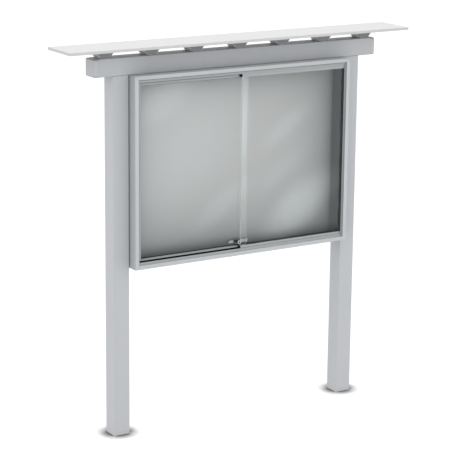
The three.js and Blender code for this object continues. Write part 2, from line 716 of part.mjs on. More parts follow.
function buildLock() {
  const front = behindFace(lockFrontDepth);
  const back = behindFace(lockBackDepth);
  const barFront = behindFace(barBackset);
  const x0 = lockCentreX - lockWidth / 2;
  const x1 = lockCentreX + lockWidth / 2;
  const z0 = barCentreZ - lockBottomDrop;
  const z1 = barCentreZ + lockTopRise;
  const barrelFront = front - barrelLength;

  // Pawl: a plate in front of the bar, moved down by the cam pin, with a foot under the teeth
  const plateBack = barFront - slotClearance - pawlGap * 2;
  const plateFront = plateBack - pawlThickness;
  const pawlTop = barCentreZ + pawlTopRise;
  const footTop = barBottomZ - pawlGap;
  const footBottom = footTop - pawlFootHeight;
  const footBack = barFront + barThickness;
  const halfPawl = pawlWidth / 2;
  const pin = camPinRadius + yokeClearance;
  const pawlX = [lockCentreX - halfPawl, lockCentreX + halfPawl];
  const plate = block(...pawlX, plateFront, plateBack, footBottom, pawlTop);
  const foot = block(...pawlX, plateFront, footBack, footBottom, footTop);
  const yoke = block(lockCentreX - pin - camPinThrow, lockCentreX + pin + camPinThrow,
    plateFront - cutOverrun, plateBack + cutOverrun, barCentreZ - pin, barCentreZ + pin);
  const pawl = plate.add(foot).subtract(yoke);
  addPiece('lock_pawl', pawl, zincSteel);

  // Housing, with its barrel, the slot for the bar and the chamber for the pawl
  const body = extrudeY(roundedRectangle(lockCentreX, (z0 + z1) / 2, lockWidth, z1 - z0, lockCornerRadius),
    front, back);
  const barrel = rodY(barrelRadius, lockCentreX, barrelFront + barrelLipLength / 2, plateFront - pawlGap * 2,
    barCentreZ, roundSides);
  const lip = rodY(barrelLipRadius, lockCentreX, barrelFront, barrelFront + barrelLipLength,
    barCentreZ, roundSides);
  const slot = block(x0 - cutOverrun, x1 + cutOverrun,
    barFront - slotClearance, barFront + barThickness + slotClearance,
    barBottomZ - slotClearance, barCentreZ + barWidth / 2 + slotClearance);
  const chamber = block(lockCentreX - halfPawl - pawlGap, lockCentreX + halfPawl + pawlGap,
    plateFront - pawlGap, plateBack + pawlGap, footBottom - camPinThrow - pawlGap, pawlTop + pawlGap);
  const footRoom = block(lockCentreX - halfPawl - pawlGap, lockCentreX + halfPawl + pawlGap,
    plateFront - pawlGap, footBack + pawlGap, footBottom - camPinThrow - pawlGap, barBottomZ);
  const plugHole = (plugRadius + plugClearance) * holeScale;
  const tailEnd = plateFront - pawlGap - plugTailGap;
  const bore = rodY(plugHole, lockCentreX, barrelFront - cutOverrun, plateFront, barCentreZ, roundSides);
  addPiece('lock_housing', joined([body, barrel, lip]).subtract(slot).subtract(chamber).subtract(footRoom)
    .subtract(bore), chromed);

  // Key plug with its keyway and the cam pin that works the pawl
  const plugFront = barrelFront + plugRecess;
  const plug = rodY(plugRadius, lockCentreX, plugFront, tailEnd, barCentreZ, roundSides);
  const pinRod = rodY(camPinRadius, lockCentreX + camPinThrow, tailEnd - camPinLength, tailEnd + camPinLength,
    barCentreZ);
  const keyway = block(lockCentreX - keywayWidth / 2, lockCentreX + keywayWidth / 2,
    plugFront - cutOverrun, plugFront + keywayDepth,
    barCentreZ - keywayHeight / 2, barCentreZ + keywayHeight / 2);
  addPiece('lock_plug', plug.add(pinRod).subtract(keyway), chromed);
}

buildPosts();
buildBeam();
buildCanopy();
buildCaseFrame();
buildCaseLinings();
buildCaseBack();
buildCaseFixings();
buildPane('front_pane', frontPaneDepth, 1, frontPaneLead, edgeSealWidth, blackPlastic, 'edge_seal');
buildPane('rear_pane', rearPaneDepth, -1, rearPaneLead, edgeProfileWidth, anodised, 'edge_profile');
buildRailEnds();
buildRatchetBar();
buildLock();

export default board;
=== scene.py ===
import json
import math

import bpy
import bmesh
from mathutils import Matrix, Vector


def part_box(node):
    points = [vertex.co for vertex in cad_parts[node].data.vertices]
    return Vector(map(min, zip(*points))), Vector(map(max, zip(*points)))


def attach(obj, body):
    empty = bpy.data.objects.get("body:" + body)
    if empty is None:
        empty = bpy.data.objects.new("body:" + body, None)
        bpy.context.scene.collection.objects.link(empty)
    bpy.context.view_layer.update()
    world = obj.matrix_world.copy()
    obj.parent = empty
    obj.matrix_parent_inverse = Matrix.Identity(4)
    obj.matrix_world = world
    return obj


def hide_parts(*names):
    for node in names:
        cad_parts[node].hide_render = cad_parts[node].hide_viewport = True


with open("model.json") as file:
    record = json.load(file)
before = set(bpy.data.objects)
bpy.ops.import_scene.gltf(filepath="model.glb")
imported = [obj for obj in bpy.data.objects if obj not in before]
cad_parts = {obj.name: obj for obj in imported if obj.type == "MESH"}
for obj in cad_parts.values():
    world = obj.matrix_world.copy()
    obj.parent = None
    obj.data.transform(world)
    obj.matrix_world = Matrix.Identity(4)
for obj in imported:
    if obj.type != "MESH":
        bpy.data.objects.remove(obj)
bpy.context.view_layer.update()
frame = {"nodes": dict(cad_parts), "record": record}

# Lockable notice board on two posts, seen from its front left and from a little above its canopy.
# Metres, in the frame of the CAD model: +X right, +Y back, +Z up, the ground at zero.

NODES = frame["nodes"]
BRACKETS = [name for name in NODES if name.startswith("canopy_bracket")]

# Camera, as fitted to the photograph
CAMERA_PLACE = Vector((-5.3192, -8.6078, 3.6533))
CAMERA_YAW = math.radians(31.42)
CAMERA_PITCH = math.radians(14.03)
CAMERA_ROLL = math.radians(0.58)
PHOTO_WIDTH_PX = 450
FOCAL_LENGTH_PX = 1806
SENSOR_MM = 36

# Studio
SKY_AT_HORIZON = 1.0
SKY_OVERHEAD = 1.22
SOFTBOX_PLACE = (-1.0, -1.5, 7.0)
SOFTBOX_SIZE = (6.0, 4.0)
SOFTBOX_WATTS = 40.0
WHITE = (1.0, 1.0, 1.0, 1.0)
UNLIT = (0.0, 0.0, 0.0, 1.0)

# Floor: the contact shadow and the glow are for the camera, the even glow is for reflections
FLOOR_HALF = 30.0
FLOOR_COLOUR = (0.6, 0.6, 0.6, 1.0)
FLOOR_GLOW = 0.45
FLOOR_REFLECTED = 0.86
CONTACT_REACH = 0.08
CONTACT_DARKNESS = 3.4
CONTACT_SAMPLES = 16

# Card that the glass mirrors: it brightens upwards between the two heights of its fade
CARD_LOW_LEFT = (0.0, -2.6, -0.2)
CARD_SIZE = (3.2, 2.1)
CARD_BASE = 1.15
CARD_TINT = (0.90, 0.97, 1.0, 1.0)
CARD_FADE = (0.25, 0.34)
CARD_FOOT_SHARE = 0.2
# Soft streaks on the card: middle across and up, half length, half width, tilt in degrees, strength
STREAKS = (
    (0.92, 1.41, 0.42, 0.19, 36, 0.8),
    (1.02, 1.02, 0.75, 0.50, 36, 0.42),
    (1.93, 1.12, 0.34, 0.11, 36, 0.6),
    (1.90, 0.80, 0.36, 0.11, 36, 0.4),
    (1.40, 0.58, 0.40, 0.12, 36, 0.6),
    (2.05, 0.49, 0.50, 0.23, 36, 1.75),
    (1.576, 1.25, 0.55, 0.055, 90, 0.6),
)
STREAK_RISE_SHARE = 0.8

# Display case, from the frame
CASE_LOW, CASE_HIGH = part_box("case_bottom_profile")[0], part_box("case_top_profile")[1]
CASE_MIDDLE_Z = (CASE_LOW[2] + CASE_HIGH[2]) / 2
CASE_HALF_X = CASE_HIGH[0]
CASE_HALF_Z = (CASE_HIGH[2] - CASE_LOW[2]) / 2
STEP_DEPTH = 0.0065
SKIN = 0.003

# Beam, from the frame
BEAM_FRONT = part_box("beam")[0][1]
BEAM_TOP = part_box("beam")[1][2]

# Clouds and grain: the span of the noise that is put to use
NOISE_SPAN = (0.3, 0.7)

# Soft edges: how well the rounded and the plain normal agree on a flat and on an edge, and how much
# paler a coat is painted along its edges as a painted highlight
EDGE_SAMPLES = 6
EDGE_AGREEMENT = (1.0, 0.75)
EDGE_HIGHLIGHT_GAIN = 1.08

# Dust: how far up a face has to look for none and for all of it, and the height under which it gathers
DUST_COLOUR = (0.42, 0.4, 0.36, 1.0)
DUST_TILT = (0.2, 1.0)
DUST_HEIGHT = 0.25

# Painted shade: each pair says where there is none and where there is all of it. Depths lie behind a
# front, drops below a top edge, and a tilt is how far a face looks along its axis
PAINTED_SHADE_COLOUR = (0.05, 0.05, 0.052, 1.0)
# Painted shade lines on the track lips: which edge they are near, the pair from that edge, front and
# back depth, softness
LIP_SHADES = (
    ("top", 0.0280, 0.0250, 0.010, 0.0135, 0.001),
    ("top", 0.0470, 0.0440, 0.019, 0.040, 0.001),
    ("bottom", 0.0405, 0.0380, 0.015, 0.024, 0.0005),
)
LIP_SHADE = 0.42
# Painted shade on the case's top ledge and along the top of its face
LEDGE_SHADE = 0.06
LEDGE_DROPS = (0.0015, 0.0005)
TOP_FACE_SHADE = 0.09
TOP_FACE_DROPS = (0.021, 0.020)
TOP_FACE_DEPTHS = (0.001, 0.0005)
# Painted shade on the beam: over the case in front, low down, and on its top
BEAM_FRONT_SHADE = 0.19
BEAM_FRONT_DEPTHS = (0.006, 0.002)
BEAM_FOOT_SHADE = 0.22
BEAM_FOOT_REACH = 0.045
BEAM_PAST_CASE = (0.06, -0.12)
BEAM_PAST_CASE_SHARE = 0.22
BEAM_TOP_SHADE = 0.36
BEAM_TOP_DROPS = (0.002, 0.0005)
# Painted shade on the posts beside the case
POST_SHADE_NEAR_CASE = 0.14
POST_SHADE_FAR = 0.03
POST_SHADE_REACH = 0.11
POST_SHADE_RISE = (-0.03, 0.06)
# Painted shade on the beam caps' top and underside
CAP_SHADE = 0.55
CAP_TILT = (0.2, 0.8)
# Painted shade on the brackets' front and back plates
PLATE_SHADE = 0.74
PLATE_TILT = (0.5, 0.9)

# Panel: how much of its foot and head the rails hide, and its shade as edge, reach and strength
RAIL_HIDES_LOW = 0.05
RAIL_HIDES_HIGH = 0.055
SHADE_COLOUR = (0.02, 0.022, 0.022, 1.0)
PANEL_SHADES = (
    ("bottom", 0.050, 0.29), ("bottom", 0.25, 0.46),
    ("right", 0.018, 0.62), ("right", 0.10, 0.13), ("right", 0.30, 0.44),
    ("left", 0.060, 0.28), ("left", 0.16, 0.06),
    ("top", 0.060, 0.13),
)

# Lock: the polished ring round the barrel, as radii and as depths behind the plug's face
RING_RADII = (0.0112, 0.0108)
RING_DEPTHS = (0.006, 0.005)

# Panes
ARRIS = 0.0008
FLAT_AGREEMENT = 0.99

# Rivets, as radius and height pairs from the rim to the middle
TURN_SIDES = 18
RIVET_PROFILE = (
    (0.0048, -0.0002), (0.0048, 0.0004), (0.0043, 0.0009), (0.0031, 0.0014),
    (0.0016, 0.0016), (0.0013, 0.0010), (0.0, 0.0009),
)
RIVET_INSET = 0.012
RIVET_SPACING = 0.115

# Welds: the bead swells at each ripple, wanders a little, tapers at both ends and is a little hollow.
# A bracket's foot is measured in a band at its lowest edge
WELD_LEG = 0.0034
WELD_RIPPLE = 0.0024
WELD_RIPPLE_STEPS = 4
WELD_RIPPLE_SHARE = 0.09
WELD_WANDER_SHARE = 0.05
WELD_WANDER_TURN = 0.37
WELD_END_SHARE = 0.45
WELD_TAPER_SHARE = 0.2
WELD_HOLLOW_SHARE = 0.16
WELD_ARC_STEPS = 5
WELD_END_INSET = 0.002
FOOT_BAND = 0.001


def make_camera():
    """A camera at the photograph's place, looking down a little and to the right."""
    ahead = Vector((
        math.sin(CAMERA_YAW) * math.cos(CAMERA_PITCH),
        math.cos(CAMERA_YAW) * math.cos(CAMERA_PITCH),
        -math.sin(CAMERA_PITCH),
    ))
    level = Vector((math.cos(CAMERA_YAW), -math.sin(CAMERA_YAW), 0))
    above = level.cross(ahead)
    right = level * math.cos(CAMERA_ROLL) + above * math.sin(CAMERA_ROLL)
    top = above * math.cos(CAMERA_ROLL) - level * math.sin(CAMERA_ROLL)
    data = bpy.data.cameras.new("photo_camera")
    data.sensor_width = SENSOR_MM
    data.lens = FOCAL_LENGTH_PX / PHOTO_WIDTH_PX * SENSOR_MM
    camera = bpy.data.objects.new("photo_camera", data)
    turn = Matrix((right, top, -ahead)).transposed().to_4x4()
    camera.matrix_world = Matrix.Translation(CAMERA_PLACE) @ turn
    bpy.context.scene.collection.objects.link(camera)
    bpy.context.scene.camera = camera


def new_object(name, mesh, material):
    """A linked object that holds the mesh and wears the material."""
    piece = bpy.data.objects.new(name, mesh)
    bpy.context.scene.collection.objects.link(piece)
    mesh.materials.append(material)
    return piece


def new_quad(name, corners, material):
    """A linked object of one four-sided face."""
    mesh = bpy.data.meshes.new(name)
    mesh.from_pydata(corners, [], [(0, 1, 2, 3)])
    return new_object(name, mesh, material)


# Node helpers

def new_group(name, inputs, outputs):
    """An empty shader node group with named float, colour or vector sockets."""
    group = bpy.data.node_groups.new(name, "ShaderNodeTree")
    for label, kind, default in inputs:
        socket = group.interface.new_socket(label, in_out="INPUT", socket_type=kind)
        socket.default_value = default
    for label, kind in outputs:
        group.interface.new_socket(label, in_out="OUTPUT", socket_type=kind)
    return group, group.nodes.new("NodeGroupInput"), group.nodes.new("NodeGroupOutput")


def add_node(tree, kind, links=None, **values):
    """A node with plain settings, and sockets that are linked or set by name or number."""
    node = tree.nodes.new(kind)
    for label, value in values.items():
        setattr(node, label, value)
    for socket, value in (links or {}).items():
        if hasattr(value, "is_output"):
            tree.links.new(value, node.inputs[socket])
        else:
            node.inputs[socket].default_value = value
    return node


def new_material(name):
    """A material with its Principled shader, and the tree they are in."""
    material = bpy.data.materials.new(name)
    material.use_nodes = True
    tree = material.node_tree
    return material, tree, tree.nodes["Principled BSDF"]


def place_group(tree, group, **values):
    """The shared effect in this material, with its own values."""
    node = tree.nodes.new("ShaderNodeGroup")
    node.node_tree = group
    for label, value in values.items():
        node.inputs[label.replace("_", " ")].default_value = value
    return node


# Masks

def remapped(tree, value, start, end, low=0.0, high=1.0, **settings):
    """A number that goes from low to high as the value goes from start to end."""
    return add_node(tree, "ShaderNodeMapRange", {
        "Value": value, "From Min": start, "From Max": end, "To Min": low, "To Max": high},
        **settings).outputs["Result"]


def varied(tree, noise, low, high):
    """A number between low and high that follows the clouds or the grain."""
    return remapped(tree, noise, *NOISE_SPAN, low, high)


def worked(tree, operation, first, *others):
    """A plain operation on numbers or sockets, taken one after the other."""
    if not others:
        return add_node(tree, "ShaderNodeMath", {0: first}, operation=operation).outputs["Value"]
    for other in others:
        step = add_node(tree, "ShaderNodeMath", {0: first, 1: other}, operation=operation)
        first = step.outputs["Value"]
    return first


def product(tree, *factors):
    """Numbers or sockets multiplied together."""
    return worked(tree, "MULTIPLY", *factors)


def greatest(tree, *values):
    """The largest of some numbers or sockets."""
    return worked(tree, "MAXIMUM", *values)


def difference(tree, first, second):
    """The first number or socket less the second."""
    return worked(tree, "SUBTRACT", first, second)


def places(tree):
    """X, Y and Z over the part at rest."""
    where = add_node(tree, "ShaderNodeTexCoord")
    return add_node(tree, "ShaderNodeSeparateXYZ", {"Vector": where.outputs["Object"]}).outputs


def facing(tree):
    """How far a face looks along X, Y and Z, without its sign."""
    surface = add_node(tree, "ShaderNodeNewGeometry")
    unsigned = add_node(tree, "ShaderNodeVectorMath", {0: surface.outputs["True Normal"]},
                        operation="ABSOLUTE")
    return add_node(tree, "ShaderNodeSeparateXYZ", {"Vector": unsigned.outputs["Vector"]}).outputs


def faded(tree, distance, reach, strength):
    """A mask that is strongest at an edge and dies away from it."""
    inward = product(tree, distance, -1.0 / reach)
    return product(tree, worked(tree, "EXPONENT", inward), strength)


def banded(tree, value, start, end, soft):
    """One between two limits and zero outside them."""
    above_start = remapped(tree, value, start - soft, start)
    return product(tree, above_start, remapped(tree, value, end + soft, end))


def blended(tree, fac, first, second):
    """A colour between two that follows a mask."""
    mix = add_node(tree, "ShaderNodeMix", data_type="RGBA")
    tree.links.new(fac, mix.inputs["Factor"])
    for socket, colour in (("A", first), ("B", second)):
        target = [i for i in mix.inputs if i.name == socket and i.type == "RGBA"][0]
        if hasattr(colour, "is_output"):
            tree.links.new(colour, target)
        else:
            target.default_value = colour
    return [o for o in mix.outputs if o.type == "RGBA"][0]


def add_relief(tree, shader, height, strength, depth, normal=None):
    """Fine relief in the shader's normal, over softened edges if their normal is given."""
    links = {"Height": height, "Strength": strength, "Distance": depth}
    if normal:
        links["Normal"] = normal
    relief = add_node(tree, "ShaderNodeBump", links)
    tree.links.new(relief.outputs["Normal"], shader.inputs["Normal"])


# Shared effects

def make_soft_edges():
    """Rounds sharp edges in shading, and finds them as a mask."""
    group, entry, leave = new_group(
        "Soft edges",
        [("Radius", "NodeSocketFloat", 0.001)],
        [("Normal", "NodeSocketVector"), ("Edge", "NodeSocketFloat")],
    )
    bevel = add_node(group, "ShaderNodeBevel", {"Radius": entry.outputs["Radius"]}, samples=EDGE_SAMPLES)
    surface = add_node(group, "ShaderNodeNewGeometry")
    agree = add_node(group, "ShaderNodeVectorMath",
                     {0: bevel.outputs["Normal"], 1: surface.outputs["Normal"]}, operation="DOT_PRODUCT")
    group.links.new(bevel.outputs["Normal"], leave.inputs["Normal"])
    group.links.new(remapped(group, agree.outputs["Value"], *EDGE_AGREEMENT), leave.inputs["Edge"])
    return group


def make_mottle():
    """Slow clouds and fine grain, both about one half, in the object's own metres."""
    group, entry, leave = new_group(
        "Clouds and grain",
        [("Cloud scale", "NodeSocketFloat", 3.0), ("Grain scale", "NodeSocketFloat", 800.0),
         ("Stretch", "NodeSocketVector", (1.0, 1.0, 1.0))],
        [("Clouds", "NodeSocketFloat"), ("Grain", "NodeSocketFloat")],
    )
    where = add_node(group, "ShaderNodeTexCoord")
    drawn = add_node(group, "ShaderNodeVectorMath",
                     {0: where.outputs["Object"], 1: entry.outputs["Stretch"]}, operation="MULTIPLY")
    clouds = add_node(group, "ShaderNodeTexNoise", {
        "Vector": where.outputs["Object"], "Scale": entry.outputs["Cloud scale"], "Detail": 3.0})
    grain = add_node(group, "ShaderNodeTexNoise", {
        "Vector": drawn.outputs["Vector"], "Scale": entry.outputs["Grain scale"], "Detail": 2.0})
    group.links.new(clouds.outputs["Fac"], leave.inputs["Clouds"])
    group.links.new(grain.outputs["Fac"], leave.inputs["Grain"])
    return group


def make_rain_dust():
    """A thin film of dust that gathers low on the part and on faces that look up."""
    group, entry, leave = new_group(
        "Dust film",
        [("Amount", "NodeSocketFloat", 0.3), ("Clouds", "NodeSocketFloat", 0.5)],
        [("Dust", "NodeSocketFloat")],
    )
    surface = add_node(group, "ShaderNodeNewGeometry")
    tilt = add_node(group, "ShaderNodeSeparateXYZ", {"Vector": surface.outputs["Normal"]})
    place = add_node(group, "ShaderNodeSeparateXYZ", {"Vector": surface.outputs["Position"]})
    faces_up = remapped(group, tilt.outputs["Z"], *DUST_TILT)
    near_ground = remapped(group, place.outputs["Z"], DUST_HEIGHT, 0.0)
    film = product(group, greatest(group, faces_up, near_ground), entry.outputs["Clouds"],
                   entry.outputs["Amount"])
    group.links.new(film, leave.inputs["Dust"])
    return group


def make_case_shade():
    """What lies behind the case's stepped face, as painted recess shade, and painted shade lines on its
    lips, top ledge and top face.
    """
    group, _, leave = new_group(
        "Case recess and painted shade", [], [("Recess", "NodeSocketFloat"), ("Shade lines", "NodeSocketFloat")])
    x, y, z = places(group)
    depth = difference(group, y, CASE_LOW[1])
    from_edge = {"top": difference(group, CASE_HIGH[2], z), "bottom": difference(group, z, CASE_LOW[2])}

    # Painted shade behind the stepped face
    behind = remapped(group, depth, STEP_DEPTH / 2, STEP_DEPTH)
    across = remapped(group, worked(group, "ABSOLUTE", x), CASE_HALF_X - SKIN / 2, CASE_HALF_X - SKIN)
    height = worked(group, "ABSOLUTE", difference(group, z, CASE_MIDDLE_Z))
    upward = remapped(group, height, CASE_HALF_Z - SKIN / 2, CASE_HALF_Z - SKIN)
    within = product(group, behind, across, upward)

    # Painted shade lines in the tracks, on the top ledge and at the top of the face
    lips = 0.0
    for edge, none, full, front, back, soft in LIP_SHADES:
        beside_lip = remapped(group, from_edge[edge], none, full)
        lips = greatest(group, lips, product(group, beside_lip, banded(group, depth, front, back, soft)))
    in_tracks = product(group, lips, within, LIP_SHADE)
    on_ledge = product(group, remapped(group, from_edge["top"], *LEDGE_DROPS), facing(group)["Z"],
                       LEDGE_SHADE)
    on_face = product(group, remapped(group, from_edge["top"], *TOP_FACE_DROPS),
                      remapped(group, depth, *TOP_FACE_DEPTHS), TOP_FACE_SHADE)
    group.links.new(within, leave.inputs["Recess"])
    group.links.new(greatest(group, in_tracks, on_ledge, on_face), leave.inputs["Shade lines"])
    return group


SOFT_EDGES = make_soft_edges()
MOTTLE = make_mottle()
DUST_FILM = make_rain_dust()
CASE_SHADE = make_case_shade()


# Painted shade masks, for coats

def past_case(tree, x):
    """How far a place lies past the case's sides."""
    return difference(tree, worked(tree, "ABSOLUTE", x), CASE_HALF_X)


def beam_painted_shade(tree):
    """Painted shade under the canopy on top, and over the case in front."""
    x, y, z = places(tree)
    over_case = remapped(tree, past_case(tree, x), *BEAM_PAST_CASE, BEAM_PAST_CASE_SHARE, 1.0)
    in_front = remapped(tree, difference(tree, y, BEAM_FRONT), *BEAM_FRONT_DEPTHS)
    above_case = difference(tree, z, CASE_HIGH[2])
    low_down = faded(tree, above_case, BEAM_FOOT_REACH, BEAM_FOOT_SHADE)
    in_all = worked(tree, "ADD", low_down, BEAM_FRONT_SHADE)
    on_top = remapped(tree, difference(tree, BEAM_TOP, z), *BEAM_TOP_DROPS, 0.0, BEAM_TOP_SHADE)
    return greatest(tree, product(tree, over_case, in_front, in_all), on_top)


def post_painted_shade(tree):
    """Painted shade on the front and back of the posts, up beside the case."""
    x, _, z = places(tree)
    amount = remapped(tree, past_case(tree, x), 0.0, POST_SHADE_REACH, POST_SHADE_NEAR_CASE, POST_SHADE_FAR)
    beside = remapped(tree, difference(tree, z, CASE_LOW[2]), *POST_SHADE_RISE)
    return product(tree, amount, beside, facing(tree)["Y"])


def cap_painted_shade(tree):
    """Painted shade on the cap's top and on its underside."""
    return remapped(tree, facing(tree)["Z"], *CAP_TILT, 0.0, CAP_SHADE)


def plate_painted_shade(tree):
    """Painted shade on a bracket's front and back plates, while its folded sides stay painted paler."""
    return remapped(tree, facing(tree)["Y"], *PLATE_TILT, 0.0, PLATE_SHADE)


# Materials

def add_grain(tree, shader, mottle, roughness, spread, strength, depth, normal=None):
    """Grain in the shader's roughness and relief."""
    grain = mottle.outputs["Grain"]
    rough = varied(tree, grain, roughness - spread, roughness + spread)
    tree.links.new(rough, shader.inputs["Roughness"])
    add_relief(tree, shader, grain, strength, depth, normal)


def make_coat(name, low, high, roughness, edge_radius, dust=0.1, painted_shade=None):
    """Powder coat: orange-peel relief, slow clouds in colour, a painted highlight along edges, a film of
    dust, and painted shade from a mask.
    """
    material, tree, shader = new_material(name)
    mottle = place_group(tree, MOTTLE, Cloud_scale=2.4, Grain_scale=650.0)
    edges = place_group(tree, SOFT_EDGES, Radius=edge_radius)
    film = place_group(tree, DUST_FILM, Amount=dust)
    tree.links.new(mottle.outputs["Clouds"], film.inputs["Clouds"])
    colour = blended(tree, mottle.outputs["Clouds"], low, high)
    # Painted highlight: the coat is paler along its edges
    edge_highlight = tuple(min(1.0, channel * EDGE_HIGHLIGHT_GAIN) for channel in high[:3]) + (1.0,)
    colour = blended(tree, edges.outputs["Edge"], colour, edge_highlight)
    colour = blended(tree, film.outputs["Dust"], colour, DUST_COLOUR)
    # Painted shade, from the mask given
    if painted_shade:
        colour = blended(tree, painted_shade(tree), colour, PAINTED_SHADE_COLOUR)
    tree.links.new(colour, shader.inputs["Base Color"])
    add_grain(tree, shader, mottle, roughness, spread=0.05, strength=0.25, depth=0.00006,
              normal=edges.outputs["Normal"])
    return material


def make_metal(name, low, high, roughness, edge_radius, stretch=(1, 1, 1), metallic=1.0, recess=None):
    """Bare or anodised metal, which may be drawn along an axis, with painted shade behind the case's
    face and painted shade lines in its tracks.
    """
    material, tree, shader = new_material(name)
    mottle = place_group(tree, MOTTLE, Cloud_scale=3.0, Grain_scale=900.0, Stretch=stretch)
    edges = place_group(tree, SOFT_EDGES, Radius=edge_radius)
    colour = blended(tree, mottle.outputs["Clouds"], low, high)
    # Painted shade behind the case's face, and painted shade lines in its tracks
    if recess:
        case_shade = place_group(tree, CASE_SHADE)
        colour = blended(tree, case_shade.outputs["Recess"], colour, recess)
        colour = blended(tree, case_shade.outputs["Shade lines"], colour, PAINTED_SHADE_COLOUR)
    tree.links.new(colour, shader.inputs["Base Color"])
    add_grain(tree, shader, mottle, roughness, spread=0.06, strength=0.2, depth=0.00003,
              normal=edges.outputs["Normal"])
    shader.inputs["Metallic"].default_value = metallic
    return material


def make_plastic(name, low, high, roughness, edge_radius, specular=0.5):
    """Moulded plastic or rubber with a fine spark-eroded grain."""
    material, tree, shader = new_material(name)
    shader.inputs["Specular IOR Level"].default_value = specular
    mottle = place_group(tree, MOTTLE, Cloud_scale=6.0, Grain_scale=1800.0)
    edges = place_group(tree, SOFT_EDGES, Radius=edge_radius)
    tree.links.new(blended(tree, mottle.outputs["Clouds"], low, high), shader.inputs["Base Color"])
    add_grain(tree, shader, mottle, roughness, spread=0.08, strength=0.3, depth=0.00003,
              normal=edges.outputs["Normal"])
    return material


def make_felt(name, low, high):
    """Pin felt: matted fibres over slow clouds, in the shade of the case along its edges."""
    material, tree, shader = new_material(name)
    mottle = place_group(tree, MOTTLE, Cloud_scale=1.6, Grain_scale=1400.0)
    x, _, z = places(tree)
    low_corner, high_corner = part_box("pin_panel")
    left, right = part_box("left_jamb_seal")[1][0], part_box("right_jamb_seal")[0][0]
    from_edge = {
        "bottom": difference(tree, z, low_corner[2] + RAIL_HIDES_LOW),
        "top": difference(tree, high_corner[2] - RAIL_HIDES_HIGH, z),
        "left": difference(tree, x, left),
        "right": difference(tree, right, x),
    }
    light_left = [difference(tree, 1.0, faded(tree, from_edge[edge], reach, strength))
                  for edge, reach, strength in PANEL_SHADES]
    shade = difference(tree, 1.0, product(tree, *light_left))
    colour = blended(tree, mottle.outputs["Clouds"], low, high)
    tree.links.new(blended(tree, shade, colour, SHADE_COLOUR), shader.inputs["Base Color"])
    add_grain(tree, shader, mottle, roughness=0.9, spread=0.05, strength=0.15, depth=0.0001)
    shader.inputs["Sheen Weight"].default_value = 0.1
    return material


def make_lock_metal(name, body, ring):
    """Dark plated housing with a polished ring round its barrel."""
    material, tree, shader = new_material(name)
    mottle = place_group(tree, MOTTLE, Cloud_scale=20.0, Grain_scale=1200.0)
    edges = place_group(tree, SOFT_EDGES, Radius=0.0004)
    x, y, z = places(tree)
    low_corner, high_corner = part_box("lock_plug")
    across = difference(tree, x, (low_corner[0] + high_corner[0]) / 2)
    upward = difference(tree, z, (low_corner[2] + high_corner[2]) / 2)
    squares = worked(tree, "ADD", product(tree, across, across), product(tree, upward, upward))
    near_axis = remapped(tree, worked(tree, "SQRT", squares), *RING_RADII)
    in_front = remapped(tree, difference(tree, y, low_corner[1]), *RING_DEPTHS)
    polished = product(tree, near_axis, in_front)
    tree.links.new(blended(tree, polished, body, ring), shader.inputs["Base Color"])
    add_grain(tree, shader, mottle, roughness=0.26, spread=0.06, strength=0.2, depth=0.00002,
              normal=edges.outputs["Normal"])
    shader.inputs["Metallic"].default_value = 1.0
    return material


def make_glass(name, tint):
    """Clear float glass with faint waviness, which lets the studio light through to the panel."""
    material, tree, shader = new_material(name)
    mottle = place_group(tree, MOTTLE, Cloud_scale=2.0, Grain_scale=6.0)
    add_relief(tree, shader, mottle.outputs["Grain"], strength=0.05, depth=0.0004)
    shader.inputs["Base Color"].default_value = tint
    shader.inputs["Roughness"].default_value = 0.0
    shader.inputs["IOR"].default_value = 1.5
    shader.inputs["Transmission Weight"].default_value = 1.0
    path = add_node(tree, "ShaderNodeLightPath")
    lamplight = greatest(tree, path.outputs["Is Shadow Ray"], path.outputs["Is Diffuse Ray"])
    clear = add_node(tree, "ShaderNodeBsdfTransparent", {"Color": tint})
    through = add_node(tree, "ShaderNodeMixShader", {
        "Fac": lamplight, 1: shader.outputs["BSDF"], 2: clear.outputs["BSDF"]})
    tree.links.new(through.outputs["Shader"], tree.nodes["Material Output"].inputs["Surface"])
    return material


# Finishes, each made once
GREY = {"low": (0.55, 0.565, 0.585, 1), "high": (0.585, 0.60, 0.62, 1), "roughness": 0.42}
POST_COAT = make_coat("grey powder coat", **GREY, edge_radius=0.002, painted_shade=post_painted_shade)
BEAM_COAT = make_coat("beam powder coat", **GREY, edge_radius=0.002, painted_shade=beam_painted_shade)
CAP_COAT = make_coat("beam cap coat", **GREY, edge_radius=0.003, painted_shade=cap_painted_shade)
# Pale coat: the folded sides are painted lighter than the beam's grey as painted light, and the front
# and back plates get painted shade
BRACKET_COAT = make_coat("bracket coat", (0.84, 0.85, 0.86, 1), (0.88, 0.89, 0.90, 1),
                         roughness=0.5, edge_radius=0.001, painted_shade=plate_painted_shade)
WELD_COAT = make_coat("coat over welds", (0.42, 0.43, 0.44, 1), (0.47, 0.48, 0.49, 1),
                      roughness=0.5, edge_radius=0.0005)
PALE_COAT = make_coat("pale powder coat", (0.62, 0.62, 0.62, 1), (0.65, 0.65, 0.65, 1),
                      roughness=0.45, edge_radius=0.001)

